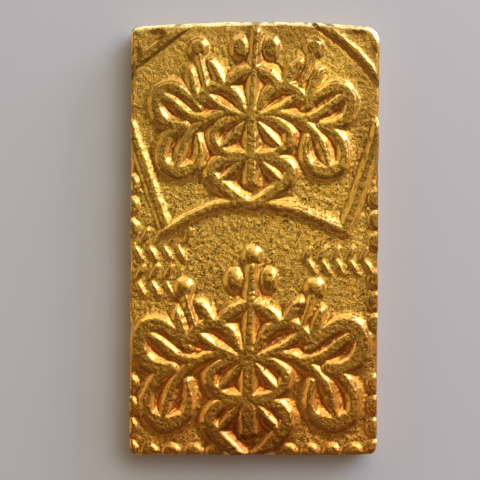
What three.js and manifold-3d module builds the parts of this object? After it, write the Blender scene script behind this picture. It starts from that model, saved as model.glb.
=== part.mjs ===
// A small oblong gold coin of old Japan, struck by hand: two paulownia crests, the upper one in a fan-shaped
// frame, with a beaded border. The coin lies flat, its struck face up: X across, Y up the face, Z out of it.
import * as THREE from "three";
import { mergeVertices } from "three/addons/utils/BufferGeometryUtils.js";
import Module from "manifold-3d";

const wasm = await Module();
wasm.setup();

// The flan, in millimetres
const LENGTH = 17.0;
const WIDTH = 9.83;
const THICKNESS = 1.6; // over the carving of the struck face
const EDGE_ROUND = 0.1; // the worn edge of both faces
const CORNER = { topLeft: 0.24, topRight: 0.75, bottomRight: 0.4, bottomLeft: 0.2 };
const TOP_DROP = { left: 0.2, right: 0.16 }; // how far the top edge falls to its corners
const SIDE_LEAN = { left: 0.08, right: 0.13 }; // how far the foot of each side stands to the left of its top

// The struck face
const RELIEF = 0.21; // height of the ridges
const SLOPE = 0.28; // width of the flank of a ridge of that height, seen from above; lower ones are as steep
const SINK = 0.07; // depth that a ridge is rooted in the flan
const BEAD_RELIEF = 0.225; // height of the largest bead, the highest part
const BEAD_SIDES = 9;
const STEP = 0.5; // length of a facet along a ridge
const TURN = 0.36; // most that a ridge turns in one facet, in radians

// Beads: height for their reach across, share of it that is flat, how far they are domed, rings of facets
const DOMED = { rise: 0.5, flat: 0.15, round: 0.7, rings: 3 };
const FLAT_TOPPED = { rise: 0.41, flat: 0.5, round: 0.1, rings: 1 };

// The crests, with spans from the leaf's axis to the ridge of its outer lobe; their ridges are the widths
// below times the stroke, and never broader than the broadest
const LOWER_CREST = {
  x: -0.26, fromEdge: 3.84, left: 4.35, right: 4.55, core: 4.35, rise: 4.35, drop: 4.35,
  waist: 4.35, tail: 4.35, bloomSpan: 4.35, bloom: 4.35, bloomLean: 0.015, spire: 4.35, spireLean: 0.04,
  stroke: 0.94, broadest: 0.7, bead: DOMED,
};
const UPPER_CREST = {
  x: -0.14, fromEdge: 3.72, left: 3.8, right: 4.0, core: 4.45, rise: 3.85, drop: 3.62,
  waist: 4.18, tail: 3.4, bloomSpan: 3.85, bloom: 4.35, bloomLean: 0.075, spire: 3.9, spireLean: 0.06,
  stroke: 0.86, broadest: 0.54, bead: FLAT_TOPPED,
};
const TOP_BEAD = { x: -0.11, above: 3.95, across: 0.45, high: 0.48 }; // over the lower crest's node
const STEM = 3.55; // height of a spire's stem over the node

// The fan frame, measured from the coin's top edge and from its middle line
const FAN = {
  foot: { y: 7.12, rise: 1.1, left: -3.45, middle: -0.4, right: 3.5, width: 0.38, relief: 0.2 },
  sidesFrom: 4.1,
  leftSide: { bow: 0, width: 0.4, relief: 0.13 },
  rightSide: { bow: 0.08, width: 0.44, relief: 0.19 },
  left: { down: 1.85, across: 2.33, bow: 0, width: 0.34, relief: 0.1 },
  right: { down: 2.35, across: 2.48, bow: 0.2, width: 0.3, relief: 0.13 },
};

// The beaded border: runs of beads along the foot, from the left corner, and up the sides, from the foot
const BORDER = { pitch: 0.86, across: 0.42, high: 0.43, footInset: 0.06, leftInset: -0.03, rightInset: 0.06 };
const BORDER_BEAD = { rise: 0.27, flat: 0.6, round: 0.1, rings: 1 };
const FOOT_RUNS = [{ from: 0.78, count: 4 }, { from: 6.2, count: 4 }];
const SIDE_RUNS = [
  { side: -1, from: 0.2, count: 4 }, { side: -1, from: 8.9, count: 3 },
  { side: 1, from: 0.2, count: 4 }, { side: 1, from: 5.14, count: 3 }, { side: 1, from: 8.33, count: 3 },
];

// Rows of short strokes
const DASH = { length: 0.5, width: 0.2, pitch: 0.56, lean: 0.5, relief: 0.11 };
const FACE_ROWS = [
  { x: -4.3, y: 0.08, count: 4 }, { x: -4.55, y: -0.62, count: 4 }, { x: -4.5, y: -1.32, count: 3 },
  { x: -4.45, y: -2.02, count: 3 }, { x: 2.05, y: -0.62, count: 5 }, { x: 2.25, y: -1.18, count: 5 },
];

// The back
const BACK_RELIEF = 0.13;
const RIM = 0.55;
const BACK_DASH = { length: 1.0, width: 0.36, pitch: 0.8, lean: 0.5, relief: BACK_RELIEF };
const BACK_ROWS = { columns: 4, rows: 4, pitch: 1.35, panels: [3.6, -3.6] };

const FACE = THICKNESS - BEAD_RELIEF; // height of the field

function solid(geometry) {
  geometry.deleteAttribute("normal");
  geometry.deleteAttribute("uv");
  const merged = mergeVertices(geometry);
  const mesh = new wasm.Mesh({
    numProp: 3,
    vertProperties: new Float32Array(merged.attributes.position.array),
    triVerts: new Uint32Array(merged.index.array),
  });
  return new wasm.Manifold(mesh);
}

function join(solids) {
  return solids.reduce((whole, one) => whole.add(one));
}

// The flan's outline: four bowed sides between four rounded corners
function outline(inset) {
  const left = -WIDTH / 2 + inset;
  const right = WIDTH / 2 - inset;
  const top = LENGTH / 2 - inset;
  const foot = -LENGTH / 2 + inset;
  const corners = [
    { at: [left, foot], radius: CORNER.bottomLeft },
    { at: [right - SIDE_LEAN.right, foot], radius: CORNER.bottomRight },
    { at: [right, top - TOP_DROP.right], radius: CORNER.topRight },
    { at: [left + SIDE_LEAN.left, top - TOP_DROP.left], radius: CORNER.topLeft },
  ].map(({ at, radius }) => ({ at: new THREE.Vector2(...at), radius: Math.max(radius - inset, radius / 4) }));
  const crown = new THREE.Vector2(0, 2 * top - corners[2].at.y / 2 - corners[3].at.y / 2);
  const shape = new THREE.Shape();
  corners.forEach(({ at, radius }, i) => {
    const before = corners[(i + 3) % 4].at;
    const after = corners[(i + 1) % 4].at;
    const start = at.clone().lerp(before, radius / at.distanceTo(before));
    const end = at.clone().lerp(after, radius / at.distanceTo(after));
    if (i === 0) shape.moveTo(start.x, start.y);
    else if (i === 3) shape.quadraticCurveTo(crown.x, crown.y, start.x, start.y);
    else shape.lineTo(start.x, start.y);
    shape.quadraticCurveTo(at.x, at.y, end.x, end.y);
  });
  shape.closePath();
  return shape;
}

function flan() {
  const geometry = new THREE.ExtrudeGeometry(outline(0), {
    depth: FACE - 2 * EDGE_ROUND,
    curveSegments: 7,
    bevelThickness: EDGE_ROUND,
    bevelSize: EDGE_ROUND,
    bevelOffset: -EDGE_ROUND,
    bevelSegments: 2,
  });
  return solid(geometry.translate(0, 0, EDGE_ROUND));
}

function prism(inset, from, to) {
  const geometry = new THREE.ExtrudeGeometry(outline(inset), {
    depth: to - from, curveSegments: 7, bevelEnabled: false,
  });
  return solid(geometry.translate(0, 0, from));
}

// A ridge with sloping flanks and ends along a curve: a long box bent onto it
function ridge(curve, width, ends = [1, 1], relief = RELIEF) {
  const steps = facets(curve);
  const geometry = new THREE.BoxGeometry(1, 1, 1, steps, 1, 1);
  const position = geometry.attributes.position;
  const slope = (SLOPE * relief) / RELIEF;
  const foot = (slope / 2) * (1 + (2 * SINK) / relief);
  for (let i = 0; i < position.count; i++) {
    const t = position.getX(i) + 0.5;
    const top = position.getZ(i) > 0;
    const point = curve.getPointAt(t);
    const along = curve.getTangentAt(t);
    const spread = top ? -slope / 2 : foot;
    const swell = Math.sin(Math.PI * t);
    const broad = width * THREE.MathUtils.lerp(THREE.MathUtils.lerp(ends[0], ends[1], t), 1, swell);
    const side = 2 * position.getY(i) * Math.max(broad / 2 + spread, slope / 8);
    const cap = Math.abs(t - 0.5) > 0.499 ? Math.sign(t - 0.5) * spread : 0;
    position.setXYZ(
      i,
      point.x + along.x * cap - along.y * side,
      point.y + along.y * cap + along.x * side,
      top ? relief : -SINK,
    );
  }
  return solid(geometry);
}

// As many facets as the curve's length and its turning ask for
function facets(curve) {
  const samples = 48;
  let turning = 0;
  for (let i = 0; i < samples; i++) {
    const a = curve.getTangentAt(i / samples);
    const b = curve.getTangentAt((i + 1) / samples);
    turning += Math.acos(THREE.MathUtils.clamp(a.dot(b), -1, 1));
  }
  return Math.max(1, Math.round(Math.max(turning / TURN, Math.min(curve.getLength() / STEP, 4))));
}

// A bead with a flat or domed top: a drum bent to its form
function bead(x, y, across, high, form) {
  const geometry = new THREE.CylinderGeometry(1, 1, 1, BEAD_SIDES, form.rings).rotateX(Math.PI / 2);
  const position = geometry.attributes.position;
  const steep = (form.rise * (1 + form.round)) / (1 - form.flat);
  for (let i = 0; i < position.count; i++) {
    const t = position.getZ(i) + 0.5;
    const foot = t < 0.01;
    const radius = foot ? 1 + SINK / (steep * across) : 1 - t * (1 - form.flat);
    const level = foot ? -SINK : form.rise * across * t * (1 + form.round * (1 - t));
    position.setXYZ(i, x + position.getX(i) * radius * across, y + position.getY(i) * radius * high, level);
  }
  return solid(geometry);
}

function through(...points) {
  return new THREE.SplineCurve(points.map(([x, y]) => new THREE.Vector2(x, y)));
}

// The left half of a crest: curves in shares of its spans, outwards and upwards from the leaf's node
const LEAF = [
  // inner lobe: edge and vein
  {
    points: [[0.06, 0.03], [0.135, 0.18], [0.225, 0.27], [0.33, 0.305], [0.44, 0.26], [0.51, 0.165]],
    width: 0.56, ends: [0.6, 1.1],
  },
  { points: [[0.06, 0.005], [0.2, 0.045], [0.33, 0.11], [0.45, 0.2]], width: 0.42, ends: [0.6, 1.2] },
  // outer lobe: edge and rib
  {
    points: [
      [0.54, 0.08], [0.65, 0.2], [0.8, 0.29], [0.92, 0.265],
      [0.985, 0.13], [0.94, -0.01], [0.83, -0.09], [0.69, -0.1],
    ],
    width: 0.74, ends: [0.65, 0.8],
  },
  { points: [[0.47, -0.035], [0.64, 0.005], [0.8, 0.13], [0.93, 0.22]], width: 0.5 },
  // lower lobe: the leaf's main vein, the edge and its broad foot
  {
    points: [[0.05, 0], [0.23, 0.03], [0.4, -0.01], [0.55, -0.105], [0.68, -0.27], [0.765, -0.54]],
    width: 0.5, ends: [0.7, 0.8],
  },
  {
    points: [
      [0.69, -0.11], [0.82, -0.185], [0.905, -0.34], [0.9, -0.5], [0.81, -0.6],
      [0.7, -0.62], [0.58, -0.55], [0.525, -0.4], [0.55, -0.22],
    ],
    width: 0.55, ends: [0.9, 0.6],
  },
  { points: [[0.86, -0.53], [0.72, -0.6], [0.58, -0.53]], width: 0.74, ends: [0.6, 0.6] },
];
const CORE = [
  // middle leaf: its side lobe and its end lobe, each an edge and a vein
  {
    points: [
      [0.05, -0.01], [0.21, -0.045], [0.325, -0.14],
      [0.325, -0.25], [0.22, -0.35], [0.05, -0.375],
    ],
    width: 0.54, ends: [0.8, 1],
  },
  { points: [[0.06, -0.055], [0.16, -0.185], [0.265, -0.295]], width: 0.38, ends: [0.7, 1] },
  {
    points: [
      [0.06, -0.385], [0.25, -0.43], [0.35, -0.55], [0.315, -0.655],
      [0.225, -0.758], [0.13, -0.852], [0.03, -0.93],
    ],
    width: 0.64, ends: [0.8, 0.9],
  },
  { points: [[0.07, -0.405], [0.175, -0.555], [0.285, -0.67]], width: 0.4, ends: [0.7, 0.9] },
];
const CORE_MIDDLE = [
  { points: [[0, 0.04], [0, -0.4]], width: 0.66, ends: [1.1, 0.9] },
  { points: [[0, -0.36], [0, -0.53], [0, -0.67]], width: 0.75, ends: [0.75, 0.9] },
];
const SPIRE = [{ points: [[0.03, 0.47], [0.16, 0.405], [0.27, 0.295]], width: 0.56, ends: [0.8, 0.9] }];
const SPIRE_MIDDLE = [{ points: [[0, 1], [0, 0.5], [0, 0]], width: 0.46, ends: [0.85, 1.3] }];
const SPIRE_BEAD = { at: [0.158, 0.687], across: 0.43, high: 0.57 };
const BLOOM = [
  // stalk and the leaflets on either side of it
  { points: [[0.575, 0.55], [0.53, 0.41], [0.48, 0.27]], width: 0.32 },
  { points: [[0.455, 0.485], [0.395, 0.405], [0.33, 0.3]], width: 0.5, ends: [0.7, 1] },
  { points: [[0.65, 0.41], [0.62, 0.3], [0.575, 0.17]], width: 0.52, ends: [0.6, 1] },
];
const BLOOM_BEAD = { at: [0.59, 0.615], across: 0.45, high: 0.48 };
const WAIST = -0.37; // where the middle leaf's end lobe begins

// Where a share of each of the crest's parts comes to lie on the coin
function crestFrame(crest, node) {
  const leaf = (side) => ([u, v]) => [
    node.x + side * u * (side < 0 ? crest.left : crest.right),
    node.y + v * (v > 0 ? crest.rise : crest.drop),
  ];
  const core = (side) => ([u, v]) => [
    node.x + side * u * crest.core,
    node.y + Math.max(v, WAIST) * crest.waist + Math.min(v - WAIST, 0) * crest.tail,
  ];
  const flower = (side, high, lean) => ([u, v]) => [
    node.x + side * u * crest.bloomSpan + v * high * lean,
    node.y + v * high,
  ];
  const spire = (side) => flower(side, crest.spire, crest.spireLean);
  const bloom = (side) => flower(side, crest.bloom, crest.bloomLean);
  const stem = flower(1, STEM, crest.spireLean);
  return { leaf, core, spire, bloom, stem };
}

function crestSolids(crest, node) {
  const frame = crestFrame(crest, node);
  const solids = [];
  const carve = (rows, place) => {
    for (const { points, width, ends } of rows) {
      const broad = Math.min(width * crest.stroke, crest.broadest);
      solids.push(ridge(through(...points.map(place)), broad, ends));
    }
  };
  const drop = ({ at, across, high }, place) => solids.push(bead(...place(at), across, high, crest.bead));
  for (const side of [-1, 1]) {
    carve(LEAF, frame.leaf(side));
    carve(CORE, frame.core(side));
    carve(SPIRE, frame.spire(side));
    carve(BLOOM, frame.bloom(side));
    drop(SPIRE_BEAD, frame.spire(side));
    drop(BLOOM_BEAD, frame.bloom(side));
  }
  carve(CORE_MIDDLE, frame.core(1));
  carve(SPIRE_MIDDLE, frame.stem);
  return solids;
}

// The fan's curved foot, its two sides and the two lines that cut off the coin's upper corners
function fanSolids() {
  const top = LENGTH / 2;
  const edge = WIDTH / 2;
  const { foot, sidesFrom, leftSide, rightSide, left, right } = FAN;
  const footY = top - foot.y - foot.rise;
  const shoulder = top - foot.y - foot.rise / 4;
  const line = (from, to, { bow, width, relief }) => {
    const span = Math.hypot(to[0] - from[0], to[1] - from[1]);
    const out = [(from[1] - to[1]) / span, (to[0] - from[0]) / span];
    const points = [0, 0.25, 0.5, 0.75, 1].map((t) => [0, 1].map((k) => {
      return THREE.MathUtils.lerp(from[k], to[k], t) + out[k] * bow * 4 * t * (1 - t);
    }));
    return ridge(through(...points), width, [1, 1], relief);
  };
  const arch = through(
    [foot.left, footY], [(foot.left + foot.middle) / 2, shoulder], [foot.middle, top - foot.y],
    [(foot.right + foot.middle) / 2, shoulder], [foot.right, footY],
  );
  return [
    ridge(arch, foot.width, [1, 1], foot.relief),
    line([-edge, top - sidesFrom], [foot.left, footY], leftSide),
    line([edge, top - sidesFrom], [foot.right, footY], rightSide),
    line([-edge, top - left.down], [-edge + left.across, top], left),
    line([edge - right.across, top], [edge, top - right.down], right),
  ];
}

function borderSolids() {
  const { pitch, across, high, footInset, leftInset, rightInset } = BORDER;
  const run = ({ from, count }, place) => Array.from({ length: count }, (_, i) => {
    return bead(...place(from + i * pitch), across, high, BORDER_BEAD);
  });
  const foot = (along) => [-WIDTH / 2 + along, -LENGTH / 2 + footInset];
  const edge = (side) => (up) => {
    const x = side < 0
      ? -WIDTH / 2 + leftInset + SIDE_LEAN.left * (up / LENGTH)
      : WIDTH / 2 - rightInset - SIDE_LEAN.right * (1 - up / LENGTH);
    return [x, up - LENGTH / 2];
  };
  return [
    ...FOOT_RUNS.flatMap((beads) => run(beads, foot)),
    ...SIDE_RUNS.flatMap((beads) => run(beads, edge(beads.side))),
  ];
}

// A row of short slanting strokes, leaning right or left
function dashes({ x, y, count }, dash, leaning) {
  return Array.from({ length: count }, (_, i) => {
    const reach = [(leaning * dash.length * Math.sin(dash.lean)) / 2, (dash.length * Math.cos(dash.lean)) / 2];
    const from = [x + i * dash.pitch - reach[0], y - reach[1]];
    const to = [x + i * dash.pitch + reach[0], y + reach[1]];
    return ridge(through(from, [(from[0] + to[0]) / 2, y], to), dash.width, [0.6, 0.6], dash.relief);
  });
}

function faceSolids() {
  const bottom = -LENGTH / 2;
  const lower = { x: LOWER_CREST.x, y: bottom + LOWER_CREST.fromEdge };
  const upper = { x: UPPER_CREST.x, y: LENGTH / 2 - UPPER_CREST.fromEdge };
  return [
    ...crestSolids(LOWER_CREST, lower),
    ...crestSolids(UPPER_CREST, upper),
    bead(TOP_BEAD.x, lower.y + TOP_BEAD.above, TOP_BEAD.across, TOP_BEAD.high, DOMED),
    ...fanSolids(),
    ...borderSolids(),
    ...FACE_ROWS.flatMap((row, i) => dashes(row, DASH, i % 2 ? -1 : 1)),
  ];
}

// The back: a plain rim round a sunk field with two panels of strokes, all level with the rim
function backPocket() {
  const { columns, rows, pitch, panels } = BACK_ROWS;
  const strokes = panels.flatMap((middle) => Array.from({ length: rows }, (_, row) => {
    const x = (-(columns - 1) * BACK_DASH.pitch) / 2;
    const y = middle + (row - (rows - 1) / 2) * pitch;
    return dashes({ x, y, count: columns }, BACK_DASH, row % 2 ? -1 : 1);
  }).flat());
  const raised = join(strokes).rotate([0, 180, 0]).translate([0, 0, BACK_RELIEF]);
  return prism(RIM, -1, BACK_RELIEF).subtract(raised);
}

function coinGeometry() {
  const carving = join(faceSolids()).translate([0, 0, FACE]).intersect(prism(EDGE_ROUND / 2, 0, 2 * THICKNESS));
  const coin = flan().add(carving).subtract(backPocket());
  const { vertProperties, triVerts } = coin.getMesh();
  const geometry = new THREE.BufferGeometry();
  geometry.setAttribute("position", new THREE.BufferAttribute(vertProperties, 3));
  geometry.setIndex(new THREE.BufferAttribute(triVerts, 1));
  geometry.computeBoundingBox();
  const middle = geometry.boundingBox.getCenter(new THREE.Vector3());
  return geometry.translate(-middle.x, -middle.y, 0);
}

const gold = new THREE.MeshStandardMaterial({ color: "#d09a3c", metalness: 1, roughness: 0.34, flatShading: true });
const coin = new THREE.Mesh(coinGeometry(), gold);
coin.name = "coin";

const group = new THREE.Group();
group.add(coin);

export default group;
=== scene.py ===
"""A small oblong gold coin of old Japan on a pale floor: one mesh of its struck face, edge and back."""

from types import SimpleNamespace

import bpy
import numpy as np
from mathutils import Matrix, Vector


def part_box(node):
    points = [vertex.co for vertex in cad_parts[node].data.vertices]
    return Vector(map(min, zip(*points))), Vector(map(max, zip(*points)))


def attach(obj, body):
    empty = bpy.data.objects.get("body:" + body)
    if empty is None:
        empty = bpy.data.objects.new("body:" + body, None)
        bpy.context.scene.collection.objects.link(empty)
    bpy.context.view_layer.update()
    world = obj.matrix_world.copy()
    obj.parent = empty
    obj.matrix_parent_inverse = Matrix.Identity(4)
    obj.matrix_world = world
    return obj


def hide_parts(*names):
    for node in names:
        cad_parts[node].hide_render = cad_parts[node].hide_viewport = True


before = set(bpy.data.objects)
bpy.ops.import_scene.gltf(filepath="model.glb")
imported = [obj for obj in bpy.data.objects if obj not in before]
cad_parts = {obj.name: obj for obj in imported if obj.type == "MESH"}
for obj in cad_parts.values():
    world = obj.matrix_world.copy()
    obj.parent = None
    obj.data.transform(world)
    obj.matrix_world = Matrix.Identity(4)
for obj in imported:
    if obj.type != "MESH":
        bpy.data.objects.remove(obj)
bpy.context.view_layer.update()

MM = 0.001
low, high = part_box("coin")
WIDTH, LENGTH, THICKNESS = ((high - low) / MM)[:]

# The flan, in millimetres
CORNER = SimpleNamespace(top_left=0.24, top_right=0.75, bottom_right=0.4, bottom_left=0.2)
TOP_DROP = SimpleNamespace(left=0.2, right=0.16)  # how far the top edge falls to its corners
SIDE_LEAN = SimpleNamespace(left=0.08, right=0.13)  # how far each side's foot stands to the left of its top
EDGE_ROUND = 0.1
TOP_EDGE_ROUND = 0.16
EDGE_FALL = SimpleNamespace(even=0.46, hollow=0.09)  # how deep the rounding goes, in shares of its width
EDGE_WEAR = 0.02  # how much the rounding varies
EDGE_SWELL = 0.01  # how far the middle of the edge stands out
RIM_DROP = 0.03  # how far the edge has fallen where it counts fully as steep and, along the top, has its full painted highlight
# Wear has pushed the outline in: how far at most, its mean and spread in shares of that, the step along
# the outline at which it changes, how that is softened, and how far inwards it fades
WOBBLE = SimpleNamespace(depth=0.025, mean=0.4, spread=0.5, step=0.16, reach=0.3)
WOBBLE_SOFTENED = (0.15, 0.2, 0.3, 0.2, 0.15)
# The carving is worn low along the top edge: how far below it that starts and over how much it grows,
# how far in from the outline it reaches, the share of that where it is full, the share of relief lost
TOP_WEAR = SimpleNamespace(down=1, over=0.6, reach=0.42, full=0.15, lost=0.6)

# The carving of the struck face
RELIEF = 0.21
# Flanks of a ridge of full height, lower ones being as steep: width, share of it inside the ridge's edge
# and how hollow they are, one being straight
HOLLOW_FLANK = SimpleNamespace(width=0.44, inside=0.27, hollow=2.15)
STRAIGHT_FLANK = SimpleNamespace(width=0.34, inside=0.4, hollow=1)
STEEPER_FLANK = SimpleNamespace(width=0.3, inside=0.5, hollow=1)
FRAY = 0.009  # how far a ridge's edge strays
EVEN = (1, 1)  # shares of a ridge's width at its ends, where it is as wide as in the middle
BEAD_RELIEF = 0.225  # of the highest bead
FACE = THICKNESS - BEAD_RELIEF

# The back
BACK_RELIEF = 0.13
RIM = 0.55
BACK_SLOPE = 0.16

# Cells of the mesh across and along the face; the back has half as many
ACROSS = 200
ALONG = 346
EDGE_ROWS = 5
OUTLINE_STEPS = 24
# How far outside a ridge, and in from the outline, distances are still worked out
RIDGE_REACH = 0.35
EDGE_REACH = 0.9

# Beads: height for their reach across, share of it that is flat, how far they are domed
DOMED = SimpleNamespace(rise=0.5, flat=0.15, round=0.7)
FLAT_TOPPED = SimpleNamespace(rise=0.41, flat=0.5, round=0.1)

# The crests, with spans from the leaf's axis to the ridge of its outer lobe
LOWER_CREST = SimpleNamespace(
    x=-0.26, from_edge=3.84, left=4.35, right=4.55, core=4.35, rise=4.35, drop=4.35,
    waist=4.35, tail=4.35, bloom_span=4.35, bloom=4.35, bloom_lean=0.015, spire=4.35, spire_lean=0.04,
    stroke=0.94, broadest=0.7, bead=DOMED,
)
UPPER_CREST = SimpleNamespace(
    x=-0.14, from_edge=3.72, left=3.8, right=4.0, core=4.45, rise=3.85, drop=3.62,
    waist=4.18, tail=3.4, bloom_span=3.85, bloom=4.35, bloom_lean=0.075, spire=3.9, spire_lean=0.06,
    stroke=0.86, broadest=0.54, bead=FLAT_TOPPED,
)
TOP_BEAD = SimpleNamespace(x=-0.11, above=3.95, across=0.45, high=0.48)
STEM = 3.55  # height of a spire's stem over the node

# The left half of a crest: curves in shares of its spans, outwards and upwards from the leaf's node,
# each with the width of its ridge and the shares of it at the two ends
LEAF = [
    # inner lobe: edge and vein
    (
        [(0.06, 0.03), (0.135, 0.18), (0.225, 0.27), (0.33, 0.305), (0.44, 0.26), (0.51, 0.165)],
        0.56, (0.6, 1.1),
    ),
    ([(0.06, 0.005), (0.2, 0.045), (0.33, 0.11), (0.45, 0.2)], 0.42, (0.6, 1.2)),
    # outer lobe: edge and rib
    (
        [(0.54, 0.08), (0.65, 0.2), (0.8, 0.29), (0.92, 0.265),
         (0.985, 0.13), (0.94, -0.01), (0.83, -0.09), (0.69, -0.1)],
        0.74, (0.65, 0.8),
    ),
    ([(0.47, -0.035), (0.64, 0.005), (0.8, 0.13), (0.93, 0.22)], 0.5, EVEN),
    # lower lobe: the leaf's main vein, the edge and its broad foot
    (
        [(0.05, 0.0), (0.23, 0.03), (0.4, -0.01), (0.55, -0.105), (0.68, -0.27), (0.765, -0.54)],
        0.5, (0.7, 0.8),
    ),
    (
        [(0.69, -0.11), (0.82, -0.185), (0.905, -0.34), (0.9, -0.5), (0.81, -0.6),
         (0.7, -0.62), (0.58, -0.55), (0.525, -0.4), (0.55, -0.22)],
        0.55, (0.9, 0.6),
    ),
    ([(0.86, -0.53), (0.72, -0.6), (0.58, -0.53)], 0.74, (0.6, 0.6)),
]
CORE = [
    # middle leaf: its side lobe and its end lobe, each an edge and a vein
    (
        [(0.05, -0.01), (0.21, -0.045), (0.325, -0.14), (0.325, -0.25), (0.22, -0.35), (0.05, -0.375)],
        0.54, (0.8, 1),
    ),
    ([(0.06, -0.055), (0.16, -0.185), (0.265, -0.295)], 0.38, (0.7, 1)),
    (
        [(0.06, -0.385), (0.25, -0.43), (0.35, -0.55), (0.315, -0.655),
         (0.225, -0.758), (0.13, -0.852), (0.03, -0.93)],
        0.64, (0.8, 0.9),
    ),
    ([(0.07, -0.405), (0.175, -0.555), (0.285, -0.67)], 0.4, (0.7, 0.9)),
]
CORE_MIDDLE = [
    ([(0, 0.04), (0, -0.4)], 0.66, (1.1, 0.9)),
    ([(0, -0.36), (0, -0.53), (0, -0.67)], 0.75, (0.75, 0.9)),
]
SPIRE = [([(0.03, 0.47), (0.16, 0.405), (0.27, 0.295)], 0.56, (0.8, 0.9))]
SPIRE_MIDDLE = [([(0, 1), (0, 0.5), (0, 0)], 0.46, (0.85, 1.3))]
BLOOM = [
    # stalk and the leaflets on either side of it
    ([(0.575, 0.55), (0.53, 0.41), (0.48, 0.27)], 0.32, EVEN),
    ([(0.455, 0.485), (0.395, 0.405), (0.33, 0.3)], 0.5, (0.7, 1)),
    ([(0.65, 0.41), (0.62, 0.3), (0.575, 0.17)], 0.52, (0.6, 1)),
]
WAIST = -0.37  # where the middle leaf's end lobe begins
# Beads of the flowers: place in the same shares, reach across and along in millimetres
SPIRE_BEAD = ((0.158, 0.687), 0.43, 0.57)
BLOOM_BEAD = ((0.59, 0.615), 0.45, 0.48)

# The fan frame, measured from the coin's top edge and from its middle line
FAN_FOOT = SimpleNamespace(y=7.12, rise=1.1, left=-3.45, middle=-0.4, right=3.5, width=0.38, relief=0.2)
FAN_SIDES_FROM = 4.1
FAN_LEFT_SIDE = SimpleNamespace(bow=0, width=0.4, relief=0.13, flank=STRAIGHT_FLANK)
FAN_RIGHT_SIDE = SimpleNamespace(bow=0.08, width=0.44, relief=0.19, flank=STEEPER_FLANK)
FAN_LEFT = SimpleNamespace(down=1.85, across=2.33, bow=0, width=0.34, relief=0.1, flank=HOLLOW_FLANK)
FAN_RIGHT = SimpleNamespace(down=2.35, across=2.48, bow=0.2, width=0.3, relief=0.13, flank=HOLLOW_FLANK)
# The shallow grooves inside the lines that cut off the corners
GROOVE_LEFT = SimpleNamespace(down=2.02, across=2.82, bow=-0.06, depth=0.024)
GROOVE_RIGHT = SimpleNamespace(down=2.66, across=2.9, bow=0.2, depth=0.034)
GROOVE_WIDTH = 0.15

# The beaded border: runs of beads along the foot, from the left corner, and up the sides, from the foot
BORDER = SimpleNamespace(
    pitch=0.86, across=0.42, high=0.43, foot_inset=0.06, left_inset=-0.03, right_inset=0.06,
)
BORDER_BEAD = SimpleNamespace(rise=0.27, flat=0.6, round=0.1)
FOOT_RUNS = [(0.78, 4), (6.2, 4)]
SIDE_RUNS = [(-1, 0.2, 4), (-1, 8.9, 3), (1, 0.2, 4), (1, 5.14, 3), (1, 8.33, 3)]

# Rows of short strokes; those of the face have the place of their first stroke and how many there are
DASH = SimpleNamespace(length=0.5, width=0.2, pitch=0.56, lean=0.5, relief=0.11)
DASH_ENDS = (0.6, 0.6)
FACE_ROWS = [
    (-4.3, 0.08, 4), (-4.55, -0.62, 4), (-4.5, -1.32, 3), (-4.45, -2.02, 3),
    (2.05, -0.62, 5), (2.25, -1.18, 5),
]
BACK_DASH = SimpleNamespace(length=1.0, width=0.36, pitch=0.8, lean=0.5, relief=BACK_RELIEF)
BACK_COLUMNS = 4
BACK_LINES = 4
BACK_PITCH = 1.35
BACK_PANELS = (3.6, -3.6)

# The grain of the surface: sizes in cells of the mesh, heights in millimetres
FRAY_GRAIN = 1.4
WAVES = SimpleNamespace(size=26, high=0.004, worn=0.03)  # and the share of the carving worn down in them
BUMPS = SimpleNamespace(size=3, high=0.0012)
PEBBLES = SimpleNamespace(size=0.6, high=0.0062)
# Short curved pits, where one noise is within a thin band of nought and another over its threshold
WORMS = SimpleNamespace(size=2.4, thin=0.14, patches=2.2, starts=0.5, over=0.5, depth=0.028)
GRAIN_CALMED = 0.8  # share of the grain that a slope lacks
MOST_WEAR = 1.5  # how far from its mean the edge's wear may go, in shares of its spread
BACK_WEAR = 3
BACK_GRAIN = [(1.2, 0.003), (6, 0.004)]

# What the mesh tells the material: a slope's rise where it starts to count as steep and over how much
# more it is fully so, how steep the plain edge and the back count, and over how many cells the carving
# is softened to find its hollows
STEEP = SimpleNamespace(starts=0.3, over=0.4, edge=0.5, back=0.2)
HOLLOW_REACH = 6

# Small dents, in millimetres from the coin's middle: place, reach across and along, depth
DENTS = [
    ((-0.10, -2.08), (0.13, 0.05), 0.09), ((-0.10, -2.27), (0.13, 0.05), 0.09),
    ((-0.10, -2.51), (0.12, 0.05), 0.08), ((-2.14, -2.51), (0.13, 0.08), 0.06),
    ((0.37, -2.59), (0.13, 0.07), 0.08), ((1.62, -2.70), (0.16, 0.05), 0.07),
    ((2.44, -2.74), (0.12, 0.06), 0.06), ((0.60, -1.49), (0.12, 0.07), 0.07),
    ((4.1, 3.0), (0.09, 0.05), 0.06), ((-3.85, 8.0), (0.42, 0.22), 0.09),
    ((-4.68, 7.98), (0.1, 0.12), 0.04), ((-4.6, 7.26), (0.18, 0.26), 0.08),
    ((4.0, 7.98), (0.42, 0.22), 0.09), ((4.64, 7.32), (0.18, 0.24), 0.08),
    ((-4.75, 6.4), (0.1, 0.3), 0.05),
]
# Scratches laid at random: how many, half the length of the shortest and longest, width and depth
SCRATCH = SimpleNamespace(count=46, shortest=0.15, longest=0.5, width=0.05, ends=(0.4, 0.4), depth=0.012)
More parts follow.
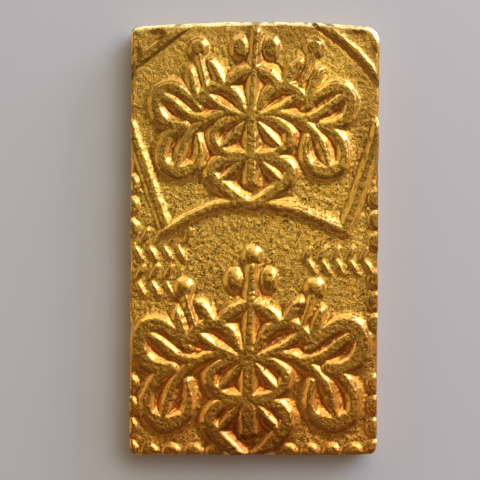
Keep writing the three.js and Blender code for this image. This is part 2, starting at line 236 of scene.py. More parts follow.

# Patches of painted shade, where the face is darkened, from the coin's middle: place, reach across and
# along, share, and the share of it on slopes
SHADE_PATCHES = [
    ((4.9, 5.4), (1.9, 5.6), 0.9, 0.1),
    ((1.9, 8.6), (4.2, 2.0), 0.75, 0.2),
    ((-0.25, -7.9), (2.3, 1.5), 0.9, 1.0),
    ((4.9, -3.0), (1.2, 3.2), 0.55, 0.2),
    ((4.9, -1.0), (0.4, 8.5), 0.85, 1.0),
    ((-3.85, 7.96), (0.6, 0.36), 0.9, 0.6),
    ((-4.6, 7.22), (0.26, 0.4), 0.9, 0.6),
    ((4.0, 7.94), (0.6, 0.36), 1.0, 0.6),
    ((4.66, 7.28), (0.26, 0.4), 1.0, 0.6),
]
SHADE_PATCH_FADE = 1.5  # full within a third of its reach

# Colours of the gold
GOLD_FIELD = (0.86, 0.49, 0.06)
GOLD_PALE = (0.96, 0.64, 0.15)  # in small patches of the field
GOLD_SLOPE_HIGHLIGHT = (0.95, 0.59, 0.15)  # painted highlight: a paler gold on the slopes
GOLD_TOP_SHADE = (0.42, 0.225, 0.027)  # painted shade darkening the flat tops
# Painted reflected light: a redder glow in the hollows, from light bounced between their walls
GOLD_HOLLOW_GLOW = (0.92, 0.31, 0.045)
GOLD_DIRT = (0.13, 0.05, 0.003)
GOLD_RIM_HIGHLIGHT = (1.0, 0.84, 0.46)  # painted highlight along the top edge
# and painted shade over them: darker and redder towards the foot, darker towards the upper left corner, and
# darker in the patches of painted shade
LOW_SHADE_TINT = (1.0, 0.78, 0.72)
HIGH_SHADE_TINT = (0.8, 0.78, 0.8)
SHADE_PATCH_TINT = (0.6, 0.53, 0.55)

# Noises of the finish: size in millimetres, detail, roughness
PALE_NOISE = (0.13, 4, 0.6)
SPECK_NOISE = (0.08, 4, 0.6)
MARK_NOISE = (0.16, 2, 0.5)
MARK_PATCHES = (0.3, 2, 0.5)
SHINE_NOISE = (0.12, 5, 0.6)
FINE_NOISE = (0.06, 4, 0.65)
BROAD_NOISE = (0.19, 2, 0.5)

# Where each part of the finish starts and where it is full: in values of its noise, in shares of the
# relief for a top, and in millimetres below what lies round it for a hollow
PALE_FROM = (0.45, 0.7)
SPECKS_FROM = (0.57, 0.62)
MARKS_FROM = (0.035, 0.015)  # away from the noise's middle
MARK_PATCHES_FROM = (0.45, 0.49)
TOP_FROM = (0.25, 0.5)
HOLLOW_FROM = (0.04, 0.1)
SHELTERED_FROM = (0.03, 0.07)
# and along the coin, in millimetres from its middle, for the painted shade towards the foot and towards the
# upper left corner
LOW_FROM = (1.0, -8.5)
HIGH_FROM = (3.5, 8.5)
HIGH_SLANT = 0.6  # how much higher a place counts for each millimetre to the left
MARKS_UP = SimpleNamespace(starts=7.0, full=2.0, least=0.25)

# How strong each part of the finish is where it is full; worn is the share of the painted shade on the flat
# tops, hollow that of the painted glow in the hollows
SHARE = SimpleNamespace(worn=0.85, hollow=0.85, specks=0.75, marks=0.95)
SPECKS_CALMED = SimpleNamespace(slopes=0.75, tops=0.5)
ROUGH = SimpleNamespace(noise=(0.3, 0.7), least=0.28, most=0.42, slopes=0.17, tops=0.06)
BUMP = SimpleNamespace(distance=0.034, broad=1.5, marks=0.9, calmed=0.85)

# The studio: a weak warm glow and lamps with their azimuth, elevation, size in millimetres, power and
# colour; azimuth 0 stands beyond the coin's top edge, 90 to its right
GLOW = SimpleNamespace(color=(1.0, 0.62, 0.38), strength=0.085)
LAMP_AWAY = 170
LAMPS = [
    ("overhead", 42, 54, (160, 90), 0.145, (1, 1, 1)),
    ("key", 48, 19, (90, 55), 0.08, (1, 1.08, 1.7)),
    ("top", -10, 21, (200, 60), 0.058, (1, 0.9, 0.7)),
    ("right", 96, 21, (155, 70), 0.021, (1, 0.76, 0.44)),
    ("left", -79, 22, (195, 80), 0.031, (1, 0.82, 0.42)),
    ("front", 192, 36, (310, 60), 0.021, (1, 0.58, 0.3)),
]
FLOOR = SimpleNamespace(half=400, color=(0.69, 0.71, 0.73), rough=0.8)

# The photograph in its own pixels: its side, the coin's middle and length in it; and that length in
# millimetres
PHOTO = SimpleNamespace(side=480, coin=(254.6, 238), coin_length=434, coin_length_mm=17.0)
CAMERA = SimpleNamespace(lens=100.0, sensor=36.0, nearest=1.0)

rng = np.random.default_rng(1736)


def smooth(t):
    """A soft step from nought to one."""
    t = np.clip(t, 0, 1)
    return t * t * (3 - 2 * t)


def spline(points, per_span=12):
    """A smooth curve through the points."""
    p = np.array(points, float)
    p = np.vstack([p[:1], p, p[-1:]])
    t = np.linspace(0, 1, per_span, endpoint=False)[:, None]
    spans = []
    for a, b, c, d in zip(p, p[1:], p[2:], p[3:]):
        square, cube = 2 * a - 5 * b + 4 * c - d, 3 * b - a - 3 * c + d
        spans.append(0.5 * (2 * b + (c - a) * t + square * t**2 + cube * t**3))
    return np.vstack(spans + [p[-1:]])


def crest(size, node):
    """The ridges and beads of one crest round its node."""

    def leaf(side):
        span = size.left if side < 0 else size.right
        return lambda u, v: (node[0] + side * u * span, node[1] + v * (size.rise if v > 0 else size.drop))

    def core(side):
        return lambda u, v: (
            node[0] + side * u * size.core,
            node[1] + max(v, WAIST) * size.waist + min(v - WAIST, 0) * size.tail,
        )

    def flower(side, tall, lean):
        return lambda u, v: (node[0] + side * u * size.bloom_span + v * tall * lean, node[1] + v * tall)

    ridges, beads = [], []

    def carve(rows, place):
        for points, width, ends in rows:
            broad = min(width * size.stroke, size.broadest)
            ridges.append((spline([place(*p) for p in points]), broad, ends, RELIEF, HOLLOW_FLANK))

    def drop(bead, place):
        at, across, tall = bead
        beads.append((place(*at), across, tall, size.bead))

    for side in (-1, 1):
        spire = flower(side, size.spire, size.spire_lean)
        bloom = flower(side, size.bloom, size.bloom_lean)
        carve(LEAF, leaf(side))
        carve(CORE, core(side))
        carve(SPIRE, spire)
        carve(BLOOM, bloom)
        drop(SPIRE_BEAD, spire)
        drop(BLOOM_BEAD, bloom)
    carve(CORE_MIDDLE, core(1))
    carve(SPIRE_MIDDLE, flower(1, STEM, size.spire_lean))
    return ridges, beads


def bowed(a, b, bow):
    """A line from one place to another that bows out by some millimetres."""
    a, b = np.array(a), np.array(b)
    out = np.array([a[1] - b[1], b[0] - a[0]]) / np.hypot(*(b - a))
    return spline([a + (b - a) * t + out * bow * 4 * t * (1 - t) for t in (0, 0.25, 0.5, 0.75, 1)])


def fan():
    """The fan's curved foot, its two sides and the lines that cut off the coin's upper corners."""
    top, edge = LENGTH / 2, WIDTH / 2
    foot_y = top - FAN_FOOT.y - FAN_FOOT.rise
    shoulder = top - FAN_FOOT.y - FAN_FOOT.rise / 4
    middle = FAN_FOOT.middle
    foot = spline([
        (FAN_FOOT.left, foot_y),
        ((FAN_FOOT.left + middle) / 2, shoulder),
        (middle, top - FAN_FOOT.y),
        ((FAN_FOOT.right + middle) / 2, shoulder),
        (FAN_FOOT.right, foot_y),
    ])
    sides_y = top - FAN_SIDES_FROM
    lines = [
        (FAN_LEFT_SIDE, (-edge, sides_y), (FAN_FOOT.left, foot_y)),
        (FAN_RIGHT_SIDE, (edge, sides_y), (FAN_FOOT.right, foot_y)),
        (FAN_LEFT, (-edge, top - FAN_LEFT.down), (-edge + FAN_LEFT.across, top)),
        (FAN_RIGHT, (edge - FAN_RIGHT.across, top), (edge, top - FAN_RIGHT.down)),
    ]
    ridges = [(foot, FAN_FOOT.width, EVEN, FAN_FOOT.relief, HOLLOW_FLANK)]
    for form, start, end in lines:
        ridges.append((bowed(start, end, form.bow), form.width, EVEN, form.relief, form.flank))
    return ridges


def grooves():
    """The middle lines and depths of the grooves beside the lines that cut off the corners."""
    top, edge = LENGTH / 2, WIDTH / 2
    left, right = GROOVE_LEFT, GROOVE_RIGHT
    return [
        (bowed((-edge, top - left.down), (-edge + left.across, top), left.bow), left.depth),
        (bowed((edge - right.across, top), (edge, top - right.down), right.bow), right.depth),
    ]


def border():
    """The beads along the coin's foot and up its sides."""
    places = []
    for start, count in FOOT_RUNS:
        for i in range(count):
            places.append((-WIDTH / 2 + start + i * BORDER.pitch, -LENGTH / 2 + BORDER.foot_inset))
    for side, start, count in SIDE_RUNS:
        for i in range(count):
            up = start + i * BORDER.pitch
            if side < 0:
                x = -WIDTH / 2 + BORDER.left_inset + SIDE_LEAN.left * up / LENGTH
            else:
                x = WIDTH / 2 - BORDER.right_inset - SIDE_LEAN.right * (1 - up / LENGTH)
            places.append((x, up - LENGTH / 2))
    return [(place, BORDER.across, BORDER.high, BORDER_BEAD) for place in places]


def dashes(x, y, count, dash, leaning):
    """A row of short slanting strokes, leaning right or left."""
    reach = dash.length / 2 * np.array([leaning * np.sin(dash.lean), np.cos(dash.lean)])
    row = []
    for i in range(count):
        middle = np.array([x + i * dash.pitch, y])
        stroke = spline([middle - reach, middle, middle + reach])
        row.append((stroke, dash.width, DASH_ENDS, dash.relief, HOLLOW_FLANK))
    return row


def outline():
    """The flan's edge as four curves between the middles of its rounded corners: foot, right, top, left."""
    left, right, top, foot = -WIDTH / 2, WIDTH / 2, LENGTH / 2, -LENGTH / 2
    corners = [
        ((left, foot), CORNER.bottom_left),
        ((right - SIDE_LEAN.right, foot), CORNER.bottom_right),
        ((right, top - TOP_DROP.right), CORNER.top_right),
        ((left + SIDE_LEAN.left, top - TOP_DROP.left), CORNER.top_left),
    ]
    at = [np.array(c[0]) for c in corners]
    crown = np.array([0, 2 * top - (at[2][1] + at[3][1]) / 2])
    t = np.linspace(0, 1, OUTLINE_STEPS + 1)[:, None]

    def bend(a, b, c):
        return (1 - t) ** 2 * a + 2 * t * (1 - t) * b + t**2 * c

    starts, arcs = [], []
    for i, (_, radius) in enumerate(corners):
        before, after = at[i - 1], at[(i + 1) % 4]
        start = at[i] + (before - at[i]) * radius / np.hypot(*(before - at[i]))
        end = at[i] + (after - at[i]) * radius / np.hypot(*(after - at[i]))
        starts.append(start)
        arcs.append(bend(start, at[i], end))
    sides = []
    half = OUTLINE_STEPS // 2
    for i in range(4):
        middle = crown if i == 2 else (arcs[i][-1] + starts[(i + 1) % 4]) / 2
        side = bend(arcs[i][-1], middle, starts[(i + 1) % 4])
        sides.append(np.vstack([arcs[i][half:-1], side, arcs[(i + 1) % 4][1 : half + 1]]))
    return sides


def spaced(curve, count):
    """Points at equal steps along a curve."""
    steps = np.hypot(*np.diff(curve, axis=0).T)
    run = np.concatenate([[0], np.cumsum(steps)])
    at = np.linspace(0, run[-1], count + 1)
    return np.column_stack([np.interp(at, run, curve[:, k]) for k in (0, 1)])


def patch(sides, across, along):
    """A grid of points that fills the outline, rows from the foot to the top."""
    foot, right = spaced(sides[0], across), spaced(sides[1], along)
    top, left = spaced(sides[2], across)[::-1], spaced(sides[3], along)[::-1]
    u = np.linspace(0, 1, across + 1)[None, :, None]
    v = np.linspace(0, 1, along + 1)[:, None, None]
    rows = (1 - v) * foot[None] + v * top[None]
    columns = (1 - u) * left[:, None] + u * right[:, None]
    corners = (
        (1 - u) * (1 - v) * foot[0] + u * (1 - v) * foot[-1] + (1 - u) * v * top[0] + u * v * top[-1]
    )
    return rows + columns - corners


def inside_ridge(points, line, width, ends, margin=RIDGE_REACH):
    """How far each point lies inside a ridge's edge, at half its height; far outside it is minus one."""
    depth = np.full(points.shape[:-1], -1.0)
    x, y = points[..., 0], points[..., 1]
    reach = width / 2 + margin
    (x0, y0), (x1, y1) = line.min(0) - reach, line.max(0) + reach
    near = (x > x0) & (x < x1) & (y > y0) & (y < y1)
    x, y = x[near], y[near]
    steps = np.hypot(*np.diff(line, axis=0).T)
    run = np.concatenate([[0], np.cumsum(steps)]) / steps.sum()
    best = np.full(x.shape, -1.0)
    for i in range(len(line) - 1):
        a, along = line[i], line[i + 1] - line[i]
        square = along @ along
        if square == 0:
            continue
        t = np.clip(((x - a[0]) * along[0] + (y - a[1]) * along[1]) / square, 0, 1)
        s = run[i] + t * (run[i + 1] - run[i])
        swell = np.sin(np.pi * s)
        half = width / 2 * ((ends[0] + (ends[1] - ends[0]) * s) * (1 - swell) + swell)
        best = np.maximum(best, half - np.hypot(x - a[0] - t * along[0], y - a[1] - t * along[1]))
    depth[near] = best
    return depth


def ridge_height(depth, relief, flank):
    """A flat top and a flank, a hollow one being steepest beside the top."""
    t = np.clip(depth * RELIEF / (flank.width * relief) + 1 - flank.inside, 0, 1)
    return relief * t**flank.hollow


def blurred(field, sigma):
    """A grid of numbers softened over sigma cells, with its edges repeated."""
    radius = int(3 * sigma) + 1
    kernel = np.exp(-0.5 * (np.arange(-radius, radius + 1) / sigma) ** 2)
    kernel /= kernel.sum()
    for axis in (0, 1):
        pad = [(radius, radius) if k == axis else (0, 0) for k in (0, 1)]
        wide = np.pad(field, pad, mode="edge")
        field = np.apply_along_axis(lambda line: np.convolve(line, kernel, mode="valid"), axis, wide)
    return field


def grain(shape, sigma):
    """Random bumps about sigma cells across, with a spread of one."""
    noise = blurred(rng.standard_normal(shape), sigma)
    return noise / noise.std()


def near_top(points):
    """One along the coin's top edge, and nought lower down."""
    return smooth((points[..., 1] - LENGTH / 2 + TOP_WEAR.down) / TOP_WEAR.over)


def edge_drop(points, sides, wear):
    """How far the rounded edge falls below the face, and the distance from the outline."""
    ring = np.vstack([side[:-1] for side in sides] + [sides[0][:1]])
    distance = -inside_ridge(points, ring, 0.0, EVEN, margin=EDGE_REACH)
    radius = EDGE_ROUND + (TOP_EDGE_ROUND - EDGE_ROUND) * near_top(points) + EDGE_WEAR * wear
    t = np.clip(1 - distance / radius, 0, 1)
    return radius * (EDGE_FALL.even * t + EDGE_FALL.hollow * t**2), distance


def face_height(points):
    """The height of the carving over the field."""
    shape = points.shape[:2]
    fray = FRAY * grain(shape, FRAY_GRAIN)
    lower = (LOWER_CREST.x, -LENGTH / 2 + LOWER_CREST.from_edge)
    upper = (UPPER_CREST.x, LENGTH / 2 - UPPER_CREST.from_edge)
    ridges, beads = crest(LOWER_CREST, lower)
    more_ridges, more_beads = crest(UPPER_CREST, upper)
    ridges += more_ridges + fan()
    top_bead = (TOP_BEAD.x, lower[1] + TOP_BEAD.above), TOP_BEAD.across, TOP_BEAD.high, DOMED
    beads += more_beads + border() + [top_bead]
    for i, (x, y, count) in enumerate(FACE_ROWS):
        ridges += dashes(x, y, count, DASH, -1 if i % 2 else 1)
    height = np.zeros(shape)
    for line, width, ends, relief, flank in ridges:
        depth = inside_ridge(points, line, width, ends) + fray
        height = np.maximum(height, ridge_height(depth, relief, flank))
    for (x, y), across, tall, form in beads:
        away = np.hypot((points[..., 0] - x) / across, (points[..., 1] - y) / tall)
        t = np.clip((1 - away) / (1 - form.flat), 0, 1)
        height = np.maximum(height, form.rise * across * t * (1 + form.round * (1 - t)))
    for line, deep in grooves():
        depth = inside_ridge(points, line, GROOVE_WIDTH, EVEN) + fray
        height = height - ridge_height(depth, deep, HOLLOW_FLANK)
    return height


def worms(shape):
    """Short curved pits, where a thin contour of one noise meets the peaks of another."""
    lines = np.exp(-((grain(shape, WORMS.size) / WORMS.thin) ** 2))
    return lines * smooth((grain(shape, WORMS.patches) - WORMS.starts) / WORMS.over)


def dents(points):
    """How deep the dents and scratches cut."""
    cut = np.zeros(points.shape[:2])
    for (x, y), (across, along), depth in DENTS:
        away = ((points[..., 0] - x) / across) ** 2 + ((points[..., 1] - y) / along) ** 2
        cut = np.maximum(cut, depth * np.clip(1 - away, 0, 1))
    for _ in range(SCRATCH.count):
        middle = (rng.random(2) - 0.5) * (WIDTH, LENGTH)
        turn = rng.random() * np.pi
        reach = SCRATCH.shortest + (SCRATCH.longest - SCRATCH.shortest) * rng.random()
        along = np.array([np.cos(turn), np.sin(turn)]) * reach
        line = np.array([middle - along, middle + along])
        depth = inside_ridge(points, line, SCRATCH.width, SCRATCH.ends)
        cut = np.maximum(cut, SCRATCH.depth * np.clip(depth / SCRATCH.width + 0.5, 0, 1))
    return cut


def painted_shade(points, steep):
    """How far the painted shade darkens the gold, from nought to one."""
    shade = np.zeros(points.shape[:2])
    for (x, y), (across, along), share, on_slopes in SHADE_PATCHES:
        away = np.hypot((points[..., 0] - x) / across, (points[..., 1] - y) / along)
        share = share * (1 - (1 - on_slopes) * steep)
        shade = np.maximum(shade, share * smooth(SHADE_PATCH_FADE * (1 - away)))
    return shade


def steepness(height, spacing):
    """How steep a grid of heights is, from nought on the flat to one."""
    rise = np.hypot(*np.gradient(height, spacing))
    return smooth((rise - STEEP.starts) / STEEP.over)


def face_surface(points, sides):
    """The face's height over the floor, its carving alone, how steep it is, and where the top edge gets its
    painted highlight.
    """
    shape = points.shape[:2]
    carving = face_height(points)
    waves, bumps, pebbles = (grain(shape, form.size) for form in (WAVES, BUMPS, PEBBLES))
    drop, distance = edge_drop(points, sides, np.clip(bumps, -MOST_WEAR, MOST_WEAR))
    up = near_top(points)
    worn = up * smooth(1 + TOP_WEAR.full - distance / TOP_WEAR.reach)
    carving = carving * (1 - TOP_WEAR.lost * worn)
    rim = smooth(drop / RIM_DROP)
    steep = np.maximum(steepness(carving, WIDTH / ACROSS), rim)
    rough = PEBBLES.high * pebbles + BUMPS.high * bumps - WORMS.depth * worms(shape)
    rough = rough * (1 - GRAIN_CALMED * steep)
    height = FACE + carving * (1 - WAVES.worn * np.abs(waves)) + WAVES.high * waves + rough
    height = height - dents(points) - drop
    return np.minimum(height, THICKNESS), carving, steep, rim * up


def worn_outline(grid, along_x, along_y):
    """The grid with its outermost points pushed in, by amounts that change along each side."""
    x, y = grid[..., 0], grid[..., 1]
    side = np.exp((np.abs(x) - WIDTH / 2) / WOBBLE.reach) * np.interp(y, *along_y)
    end = np.exp((np.abs(y) - LENGTH / 2) / WOBBLE.reach) * np.interp(x, *along_x)
    return grid - np.dstack([np.sign(x) * side, np.sign(y) * end])


def wear_along(reach):
    """Places along a side and how far wear has pushed it in at each."""
    at = np.linspace(-reach / 2, reach / 2, int(reach / WOBBLE.step))
    noise = rng.standard_normal(len(at))
    noise = np.pad(noise, len(WOBBLE_SOFTENED) // 2, mode="edge")
    noise = np.convolve(noise, WOBBLE_SOFTENED, mode="valid")
    return at, WOBBLE.depth * smooth(WOBBLE.mean + WOBBLE.spread * noise / noise.std())


def back_surface(points, sides):
    """The height of the back over the surface that the coin lies on."""
    shape = points.shape[:2]
    _, distance = edge_drop(points, sides, 0)
    raised = smooth((RIM - np.abs(distance)) / BACK_SLOPE + 0.5)
    for panel in BACK_PANELS:
        for line in range(BACK_LINES):
            x = -(BACK_COLUMNS - 1) * BACK_DASH.pitch / 2
            y = panel + (line - (BACK_LINES - 1) / 2) * BACK_PITCH
            for stroke, width, ends, *_ in dashes(x, y, BACK_COLUMNS, BACK_DASH, 1 if line % 2 else -1):
                depth = inside_ridge(points, stroke, width, ends)
                raised = np.maximum(raised, smooth(depth / BACK_SLOPE + 0.5))
    drop, _ = edge_drop(points, sides, np.clip(grain(shape, BACK_WEAR), -MOST_WEAR, MOST_WEAR))
    hollow = BACK_RELIEF * (1 - raised)
    rough = sum(high * grain(shape, size) for size, high in BACK_GRAIN)
    return np.maximum(hollow + rough * (1 - raised) + drop, 0)


def rim_of(grid):
    """The border of a grid, round from its first corner, without repeats."""
    return np.concatenate([grid[0, :-1], grid[:-1, -1], grid[-1, :0:-1], grid[:0:-1, 0]])


def cells(grid, up):
    """The four-sided faces between a grid's points, facing up or down."""
    a, b, c, d = grid[:-1, :-1], grid[:-1, 1:], grid[1:, 1:], grid[1:, :-1]
    corners = (a, b, c, d) if up else (d, c, b, a)
    return np.stack([k.ravel() for k in corners], axis=1).tolist()


def edge_levels(ring, foot_z):
    """Rows of points down the coin's edge, below the face's rim and above the back's."""
    along = np.roll(ring[:, :2], -1, axis=0) - np.roll(ring[:, :2], 1, axis=0)
    out = np.column_stack([along[:, 1], -along[:, 0]]) / np.hypot(*along.T)[:, None]
    levels = []
    for k in range(1, EDGE_ROWS):
        t = k / EDGE_ROWS
        swell = EDGE_SWELL * np.sin(np.pi * t)
        levels.append(np.column_stack([ring[:, :2] + out * swell, ring[:, 2] * (1 - t) + foot_z * t]))
    return levels


def add_shares(mesh, shares, edge_points, back_points):
    """What the material reads, kept on each point: the face's own shares, and plain ones after them."""
    for name, share in shares.items():
        edge, back = (STEEP.edge, STEEP.back) if name == "steep" else (0, 0)
        rest = np.concatenate([np.full(edge_points, edge), np.full(back_points, back)])
        values = np.concatenate([share.ravel(), rest]).astype(np.float32)
        mesh.attributes.new(name, "FLOAT", "POINT").data.foreach_set("value", values)


def coin_mesh():
    """Face, edge and back as one closed mesh; the back's grid is half as fine as the face's."""
    sides = outline()
    plan = patch(sides, ACROSS, ALONG)
    back_plan = plan[::2, ::2]
    face_z, carving, steep, rim_highlight = face_surface(plan, sides)
    back_z = back_surface(back_plan, sides)
    wear = wear_along(WIDTH), wear_along(LENGTH)
    shrink = 1 - 2 * EDGE_SWELL / WIDTH
    face, back = worn_outline(plan * shrink, *wear), worn_outline(back_plan * shrink, *wear)

    points = [np.dstack([face, face_z]).reshape(-1, 3)]
    face_ids = np.arange(face_z.size).reshape(face_z.shape)
    faces = cells(face_ids, up=True)

    upper = rim_of(face_ids)
    foot_z = np.repeat(rim_of(back_z), 2)
    foot_z = (foot_z + np.roll(foot_z, -1)) / 2
    levels = edge_levels(points[0][upper], foot_z)
    rows = [upper] + [face_z.size + i * len(upper) + np.arange(len(upper)) for i in range(len(levels))]
    points += levels
    for above, below in zip(rows, rows[1:]):
        faces += np.stack([below, np.roll(below, -1), np.roll(above, -1), above], axis=1).tolist()

    edge_points = len(levels) * len(upper)
    back_ids = face_z.size + edge_points + np.arange(back_z.size).reshape(back_z.shape)
    points.append(np.dstack([back, back_z]).reshape(-1, 3))
    faces += cells(back_ids, up=False)
    lower, last = rim_of(back_ids), rows[-1]
    for i in range(len(lower)):
        a, b, c = last[2 * i], last[2 * i + 1], last[(2 * i + 2) % len(last)]
        faces.append([int(lower[i]), int(lower[(i + 1) % len(lower)]), int(c), int(b), int(a)])

    mesh = bpy.data.meshes.new("coin_visual")
    mesh.from_pydata((np.vstack(points) * MM).tolist(), [], faces)
    mesh.update()
    mesh.polygons.foreach_set("use_smooth", [True] * len(mesh.polygons))
    rim = set(upper.tolist())
    for edge in mesh.edges:
        a, b = edge.vertices
        edge.use_edge_sharp = a in rim and b in rim
    shares = {
        "carving": carving / RELIEF,
        "hollow": np.maximum(blurred(carving, HOLLOW_REACH) - carving, 0),
        "steep": steep,
        "rim_highlight": rim_highlight,
        "painted_shade": painted_shade(plan, steep),
    }
    add_shares(mesh, shares, edge_points, back_z.size)
    return mesh


class Graph:
    """A material's nodes, added by calls that take numbers, colours or outputs and give back an output."""

    def __init__(self, material):
        material.use_nodes = True
        self.nodes = material.node_tree.nodes
        self.links = material.node_tree.links
        self.shader = self.nodes["Principled BSDF"]
        self.place = self.nodes.new("ShaderNodeTexCoord").outputs["Object"]

    def feed(self, socket, value):
        """Set a socket's own value, or link an output to it."""
        if isinstance(value, tuple):
            socket.default_value = (*value, 1)
        elif isinstance(value, (int, float)):
            socket.default_value = value
        else:
            self.links.new(value, socket)

    def attribute(self, name):
        """A share kept on the mesh."""
        node = self.nodes.new("ShaderNodeAttribute")
        node.attribute_name = name
        return node.outputs["Fac"]

    def noise(self, size, detail, rough):
        """A noise whose middle is a half; its size is in millimetres."""
        node = self.nodes.new("ShaderNodeTexNoise")
        self.feed(node.inputs["Vector"], self.place)
        self.feed(node.inputs["Scale"], 1 / (size * MM))
        self.feed(node.inputs["Detail"], detail)
        self.feed(node.inputs["Roughness"], rough)
        return node.outputs["Fac"]

    def ramp(self, source, starts, full, low=0.0, high=1.0):
        """A soft step from low to high, as the source goes from one value to the other."""
        node = self.nodes.new("ShaderNodeMapRange")
        node.interpolation_type = "SMOOTHSTEP"
        values = {"Value": source, "From Min": starts, "From Max": full, "To Min": low, "To Max": high}
        for name, value in values.items():
            self.feed(node.inputs[name], value)
        return node.outputs["Result"]

    def blend(self, share, below, above, way="MIX"):
        """One colour over another, by a share."""
        node = self.nodes.new("ShaderNodeMix")
        node.data_type = "RGBA"
        node.blend_type = way
        colors = [socket for socket in node.inputs if socket.type == "RGBA"]
        for socket, value in zip([node.inputs["Factor"], *colors], (share, below, above)):
            self.feed(socket, value)
        return node.outputs[2]

    def maths(self, operation, *values):
        """One operation on numbers or outputs."""
        node = self.nodes.new("ShaderNodeMath")
        node.operation = operation
        for socket, value in zip(node.inputs, values):
            self.feed(socket, value)
        return node.outputs["Value"]

    def product(self, first, *others):
        """All of them multiplied."""
        for value in others:
            first = self.maths("MULTIPLY", first, value)
        return first

    def lacking(self, *shares):
        """What is left of one when the product of the shares is taken away."""
        return self.maths("SUBTRACT", 1.0, self.product(*shares))


def gold_masks(graph):
    """How far each mask holds, from nought to one: steep, flat, on the carving's tops, in its hollows."""
    split = graph.nodes.new("ShaderNodeSeparateXYZ")
    graph.feed(split.inputs["Vector"], graph.place)
    x, y = split.outputs["X"], split.outputs["Y"]
    steep = graph.attribute("steep")
    sheltered = graph.ramp(graph.attribute("hollow"), *SHELTERED_FROM)
    high = graph.maths("SUBTRACT", y, graph.product(x, HIGH_SLANT))
    masks = SimpleNamespace(
        steep=steep,
        flat=graph.lacking(steep),
        top=graph.ramp(graph.attribute("carving"), *TOP_FROM),
        hollow=graph.ramp(graph.attribute("hollow"), *HOLLOW_FROM),
        uneven=graph.maths("MAXIMUM", steep, sheltered),
        low=graph.ramp(y, *(MM * at for at in LOW_FROM)),
        high=graph.ramp(high, *(MM * at for at in HIGH_FROM)),
    )
    contour = graph.maths("ABSOLUTE", graph.maths("SUBTRACT", graph.noise(*MARK_NOISE), 0.5))
    masks.marks = graph.product(
        graph.ramp(contour, *MARKS_FROM),
        graph.ramp(graph.noise(*MARK_PATCHES), *MARK_PATCHES_FROM),
        masks.flat,
        graph.lacking(masks.top),
        graph.ramp(y, MM * MARKS_UP.starts, MM * MARKS_UP.full, low=MARKS_UP.least),
    )
    return masks


def gold_tone(graph, masks):
    """The gold's colour: its field, then what lies over it, one after another."""
    # Painted shade: the flat tops are darkened.
    tops = graph.product(masks.top, masks.flat, SHARE.worn)
    calm = graph.product(
        graph.lacking(masks.uneven, SPECKS_CALMED.slopes),
        graph.lacking(masks.top, SPECKS_CALMED.tops),
    )
    specks = graph.ramp(graph.noise(*SPECK_NOISE), *SPECKS_FROM)
    tone = graph.blend(graph.ramp(graph.noise(*PALE_NOISE), *PALE_FROM), GOLD_FIELD, GOLD_PALE)
    # Painted highlight: the slopes, and in part the edge and the back, are given a paler gold.
    tone = graph.blend(masks.steep, tone, GOLD_SLOPE_HIGHLIGHT)
    tone = graph.blend(tops, tone, GOLD_TOP_SHADE)
    # Painted reflected light: the hollows are given a redder glow.
    tone = graph.blend(graph.product(masks.hollow, SHARE.hollow), tone, GOLD_HOLLOW_GLOW)
    tone = graph.blend(graph.product(specks, calm, SHARE.specks), tone, GOLD_DIRT)
    tone = graph.blend(graph.product(masks.marks, SHARE.marks), tone, GOLD_DIRT)
    # Painted shade: darker and redder towards the foot.
    tone = graph.blend(masks.low, tone, LOW_SHADE_TINT, "MULTIPLY")
    # Painted shade: darker towards the upper left corner.
    tone = graph.blend(masks.high, tone, HIGH_SHADE_TINT, "MULTIPLY")
    # Painted shade: darker in the listed patches.
    tone = graph.blend(graph.attribute("painted_shade"), tone, SHADE_PATCH_TINT, "MULTIPLY")
    # Painted highlight: a pale gold line along the top edge.
    return graph.blend(graph.attribute("rim_highlight"), tone, GOLD_RIM_HIGHLIGHT)


def gold_roughness(graph, masks):
    """How rough the gold is, less so on slopes and worn tops."""
    rough = graph.ramp(graph.noise(*SHINE_NOISE), *ROUGH.noise, ROUGH.least, ROUGH.most)
    rough = graph.maths("SUBTRACT", rough, graph.product(masks.steep, ROUGH.slopes))
    return graph.maths("SUBTRACT", rough, graph.product(masks.top, masks.flat, ROUGH.tops))


def gold_bump(graph, masks):
    """Pits and bumps about nought, so that calming them on the slopes adds no step there."""
    fine = graph.maths("SUBTRACT", graph.noise(*FINE_NOISE), 0.5)
    broad = graph.maths("SUBTRACT", graph.noise(*BROAD_NOISE), 0.5)
    height = graph.maths("ADD", fine, graph.product(broad, BUMP.broad))
    height = graph.maths("SUBTRACT", height, graph.product(masks.marks, BUMP.marks))
    bump = graph.nodes.new("ShaderNodeBump")
    graph.feed(bump.inputs["Strength"], 1.0)
    graph.feed(bump.inputs["Distance"], BUMP.distance * MM)
    graph.feed(bump.inputs["Height"], graph.product(height, graph.lacking(masks.uneven, BUMP.calmed)))
    return bump.outputs["Normal"]


def gold_material():
    """Worn struck gold with painted light: a painted redder glow in its hollows, painted shade on its tops,
    a painted highlight along its top edge; dirty in its pits.
    """
    material = bpy.data.materials.new("struck_gold")
    graph = Graph(material)
    masks = gold_masks(graph)
    inputs = {
        "Metallic": 1.0,
        "Base Color": gold_tone(graph, masks),
        "Roughness": gold_roughness(graph, masks),
        "Normal": gold_bump(graph, masks),
    }
    for name, value in inputs.items():
        graph.feed(graph.shader.inputs[name], value)
    return material


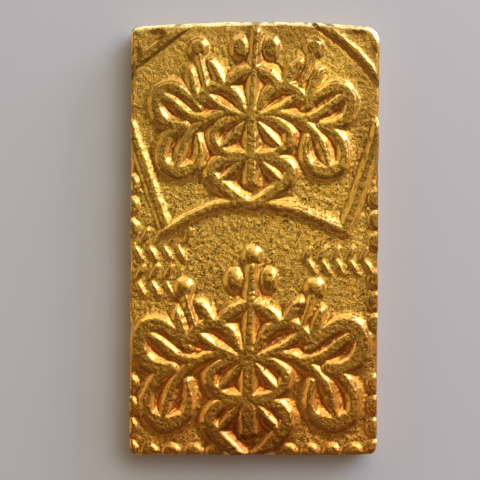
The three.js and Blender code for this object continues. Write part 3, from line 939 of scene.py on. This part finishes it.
def floor():
    """A plain pale floor under the coin."""
    reach = FLOOR.half * MM
    corners = [(-reach, -reach, 0), (reach, -reach, 0), (reach, reach, 0), (-reach, reach, 0)]
    mesh = bpy.data.meshes.new("floor")
    mesh.from_pydata(corners, [], [(0, 1, 2, 3)])
    material = bpy.data.materials.new("pale_floor")
    material.use_nodes = True
    shader = material.node_tree.nodes["Principled BSDF"]
    shader.inputs["Base Color"].default_value = (*FLOOR.color, 1)
    shader.inputs["Roughness"].default_value = FLOOR.rough
    mesh.materials.append(material)
    piece = bpy.data.objects.new("floor", mesh)
    bpy.context.scene.collection.objects.link(piece)


def area_light(name, azimuth, elevation, size, power, color):
    """An oblong lamp that faces the coin."""
    light = bpy.data.lights.new(name, "AREA")
    light.shape = "RECTANGLE"
    light.size, light.size_y = size[0] * MM, size[1] * MM
    light.energy = power
    light.color = color
    a, e = np.radians(azimuth), np.radians(elevation)
    lamp = bpy.data.objects.new(name, light)
    towards = Vector((np.sin(a) * np.cos(e), np.cos(a) * np.cos(e), np.sin(e)))
    lamp.location = towards * LAMP_AWAY * MM
    lamp.rotation_euler = lamp.location.to_track_quat("Z", "Y").to_euler()
    bpy.context.scene.collection.objects.link(lamp)


def studio():
    """The glow all round and the lamps."""
    world = bpy.data.worlds.new("studio")
    world.use_nodes = True
    background = world.node_tree.nodes["Background"]
    background.inputs["Color"].default_value = (*GLOW.color, 1)
    background.inputs["Strength"].default_value = GLOW.strength
    bpy.context.scene.world = world
    bpy.context.scene.view_settings.view_transform = "Standard"
    for lamp in LAMPS:
        area_light(*lamp)


def camera():
    """Straight down on the face, framed as the photograph is."""
    across_pixel = PHOTO.coin_length_mm / PHOTO.coin_length
    x, y = PHOTO.side / 2 - PHOTO.coin[0], PHOTO.coin[1] - PHOTO.side / 2
    height = FACE + PHOTO.side * across_pixel * CAMERA.lens / CAMERA.sensor
    data = bpy.data.cameras.new("camera")
    data.lens, data.sensor_width = CAMERA.lens, CAMERA.sensor
    data.clip_start = CAMERA.nearest * MM
    view = bpy.data.objects.new("camera", data)
    view.location = Vector((x * across_pixel, y * across_pixel, height)) * MM
    bpy.context.scene.collection.objects.link(view)
    bpy.context.scene.camera = view


coin = bpy.data.objects.new("coin_gold", coin_mesh())
coin.data.materials.append(gold_material())
bpy.context.scene.collection.objects.link(coin)
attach(coin, "root")
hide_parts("coin")

floor()
studio()
camera()
